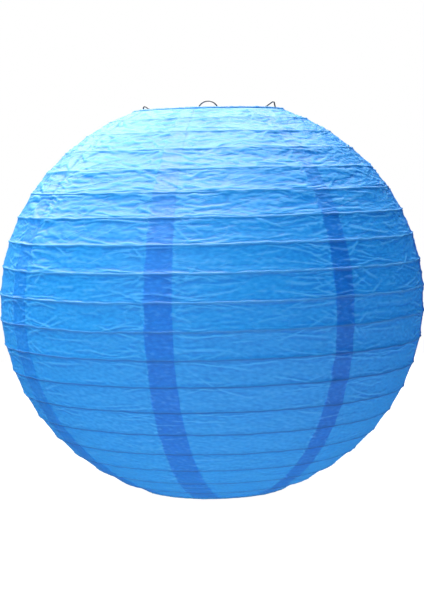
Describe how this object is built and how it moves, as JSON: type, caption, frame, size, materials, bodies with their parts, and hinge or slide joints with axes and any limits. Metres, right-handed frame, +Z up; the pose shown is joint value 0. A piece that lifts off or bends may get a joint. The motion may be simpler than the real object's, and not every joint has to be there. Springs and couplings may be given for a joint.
{
  "type": "accordion paper lantern",
  "caption": "Round blue accordion paper lantern: lapped paper gores on level wire hoops, open at both ends, held stretched by a lift-out bent wire expander.",
  "frame": {"origin": "centre of the bottom opening, on the surface the lantern stands on", "axes": "+Z up along the globe's axis; the wire expander lies in the XZ plane"},
  "size_m": [0.401, 0.401, 0.368],
  "materials": {
    "blue_paper": "matt, thin and creased, lets light through",
    "hoop_wire": "thin dull wire",
    "ring_wire": "dull drawn wire",
    "expander_wire": "drawn steel wire"
  },
  "bodies": {
    "base": {"bottom_ring": "ring_wire", "bottom_hem": "blue_paper", "paper_gore_1": "blue_paper", "paper_gore_2": "blue_paper", "paper_gore_3": "blue_paper", "paper_gore_4": "blue_paper", "paper_gore_5": "blue_paper", "paper_gore_6": "blue_paper", "paper_gore_7": "blue_paper", "paper_gore_8": "blue_paper"},
    "crown": {"top_ring": "ring_wire", "top_hem": "blue_paper"},
    "rib_01": {"rib_hoop_01": "hoop_wire"},
    "rib_02": {"rib_hoop_02": "hoop_wire"},
    "rib_03": {"rib_hoop_03": "hoop_wire"},
    "rib_04": {"rib_hoop_04": "hoop_wire"},
    "rib_05": {"rib_hoop_05": "hoop_wire"},
    "rib_06": {"rib_hoop_06": "hoop_wire"},
    "rib_07": {"rib_hoop_07": "hoop_wire"},
    "rib_08": {"rib_hoop_08": "hoop_wire"},
    "rib_09": {"rib_hoop_09": "hoop_wire"},
    "rib_10": {"rib_hoop_10": "hoop_wire"},
    "rib_11": {"rib_hoop_11": "hoop_wire"},
    "rib_12": {"rib_hoop_12": "hoop_wire"},
    "rib_13": {"rib_hoop_13": "hoop_wire"},
    "rib_14": {"rib_hoop_14": "hoop_wire"},
    "rib_15": {"rib_hoop_15": "hoop_wire"},
    "rib_16": {"rib_hoop_16": "hoop_wire"},
    "rib_17": {"rib_hoop_17": "hoop_wire"},
    "rib_18": {"rib_hoop_18": "hoop_wire"},
    "expander": {"wire_expander": "expander_wire"}
  },
  "joints": [
    {"name": "collapse", "type": "slide", "parent": "base", "child": "crown", "axis": [0, 0, -1], "range_m": [0, 0.33105], "deforming": ["paper_gore_1", "paper_gore_2", "paper_gore_3", "paper_gore_4", "paper_gore_5", "paper_gore_6", "paper_gore_7", "paper_gore_8"]},
    {"name": "rib_01_drop", "type": "slide", "parent": "base", "child": "rib_01", "axis": [0, 0, -1], "range_m": [0, 0.32182]},
    {"name": "rib_02_drop", "type": "slide", "parent": "base", "child": "rib_02", "axis": [0, 0, -1], "range_m": [0, 0.31005]},
    {"name": "rib_03_drop", "type": "slide", "parent": "base", "child": "rib_03", "axis": [0, 0, -1], "range_m": [0, 0.29593]},
    {"name": "rib_04_drop", "type": "slide", "parent": "base", "child": "rib_04", "axis": [0, 0, -1], "range_m": [0, 0.27968]},
    {"name": "rib_05_drop", "type": "slide", "parent": "base", "child": "rib_05", "axis": [0, 0, -1], "range_m": [0, 0.26157]},
    {"name": "rib_06_drop", "type": "slide", "parent": "base", "child": "rib_06", "axis": [0, 0, -1], "range_m": [0, 0.2419]},
    {"name": "rib_07_drop", "type": "slide", "parent": "base", "child": "rib_07", "axis": [0, 0, -1], "range_m": [0, 0.22099]},
    {"name": "rib_08_drop", "type": "slide", "parent": "base", "child": "rib_08", "axis": [0, 0, -1], "range_m": [0, 0.19917]},
    {"name": "rib_09_drop", "type": "slide", "parent": "base", "child": "rib_09", "axis": [0, 0, -1], "range_m": [0, 0.1768]},
    {"name": "rib_10_drop", "type": "slide", "parent": "base", "child": "rib_10", "axis": [0, 0, -1], "range_m": [0, 0.15425]},
    {"name": "rib_11_drop", "type": "slide", "parent": "base", "child": "rib_11", "axis": [0, 0, -1], "range_m": [0, 0.13188]},
    {"name": "rib_12_drop", "type": "slide", "parent": "base", "child": "rib_12", "axis": [0, 0, -1], "range_m": [0, 0.11006]},
    {"name": "rib_13_drop", "type": "slide", "parent": "base", "child": "rib_13", "axis": [0, 0, -1], "range_m": [0, 0.08915]},
    {"name": "rib_14_drop", "type": "slide", "parent": "base", "child": "rib_14", "axis": [0, 0, -1], "range_m": [0, 0.06948]},
    {"name": "rib_15_drop", "type": "slide", "parent": "base", "child": "rib_15", "axis": [0, 0, -1], "range_m": [0, 0.05137]},
    {"name": "rib_16_drop", "type": "slide", "parent": "base", "child": "rib_16", "axis": [0, 0, -1], "range_m": [0, 0.03512]},
    {"name": "rib_17_drop", "type": "slide", "parent": "base", "child": "rib_17", "axis": [0, 0, -1], "range_m": [0, 0.021]},
    {"name": "rib_18_drop", "type": "slide", "parent": "base", "child": "rib_18", "axis": [0, 0, -1], "range_m": [0, 0.00923]},
    {"name": "expander_lift", "type": "slide", "parent": "base", "child": "expander", "axis": [0, 0, 1], "range_m": [0, 0.4]}
  ],
  "couplings": [
    {"joint": "rib_01_drop", "follows": "collapse", "ratio": 0.97213},
    {"joint": "rib_02_drop", "follows": "collapse", "ratio": 0.93658},
    {"joint": "rib_03_drop", "follows": "collapse", "ratio": 0.89392},
    {"joint": "rib_04_drop", "follows": "collapse", "ratio": 0.84483},
    {"joint": "rib_05_drop", "follows": "collapse", "ratio": 0.79014},
    {"joint": "rib_06_drop", "follows": "collapse", "ratio": 0.73071},
    {"joint": "rib_07_drop", "follows": "collapse", "ratio": 0.66753},
    {"joint": "rib_08_drop", "follows": "collapse", "ratio": 0.60162},
    {"joint": "rib_09_drop", "follows": "collapse", "ratio": 0.53406},
    {"joint": "rib_10_drop", "follows": "collapse", "ratio": 0.46594},
    {"joint": "rib_11_drop", "follows": "collapse", "ratio": 0.39838},
    {"joint": "rib_12_drop", "follows": "collapse", "ratio": 0.33247},
    {"joint": "rib_13_drop", "follows": "collapse", "ratio": 0.26929},
    {"joint": "rib_14_drop", "follows": "collapse", "ratio": 0.20986},
    {"joint": "rib_15_drop", "follows": "collapse", "ratio": 0.15517},
    {"joint": "rib_16_drop", "follows": "collapse", "ratio": 0.10608},
    {"joint": "rib_17_drop", "follows": "collapse", "ratio": 0.06342},
    {"joint": "rib_18_drop", "follows": "collapse", "ratio": 0.027865}
  ]
}
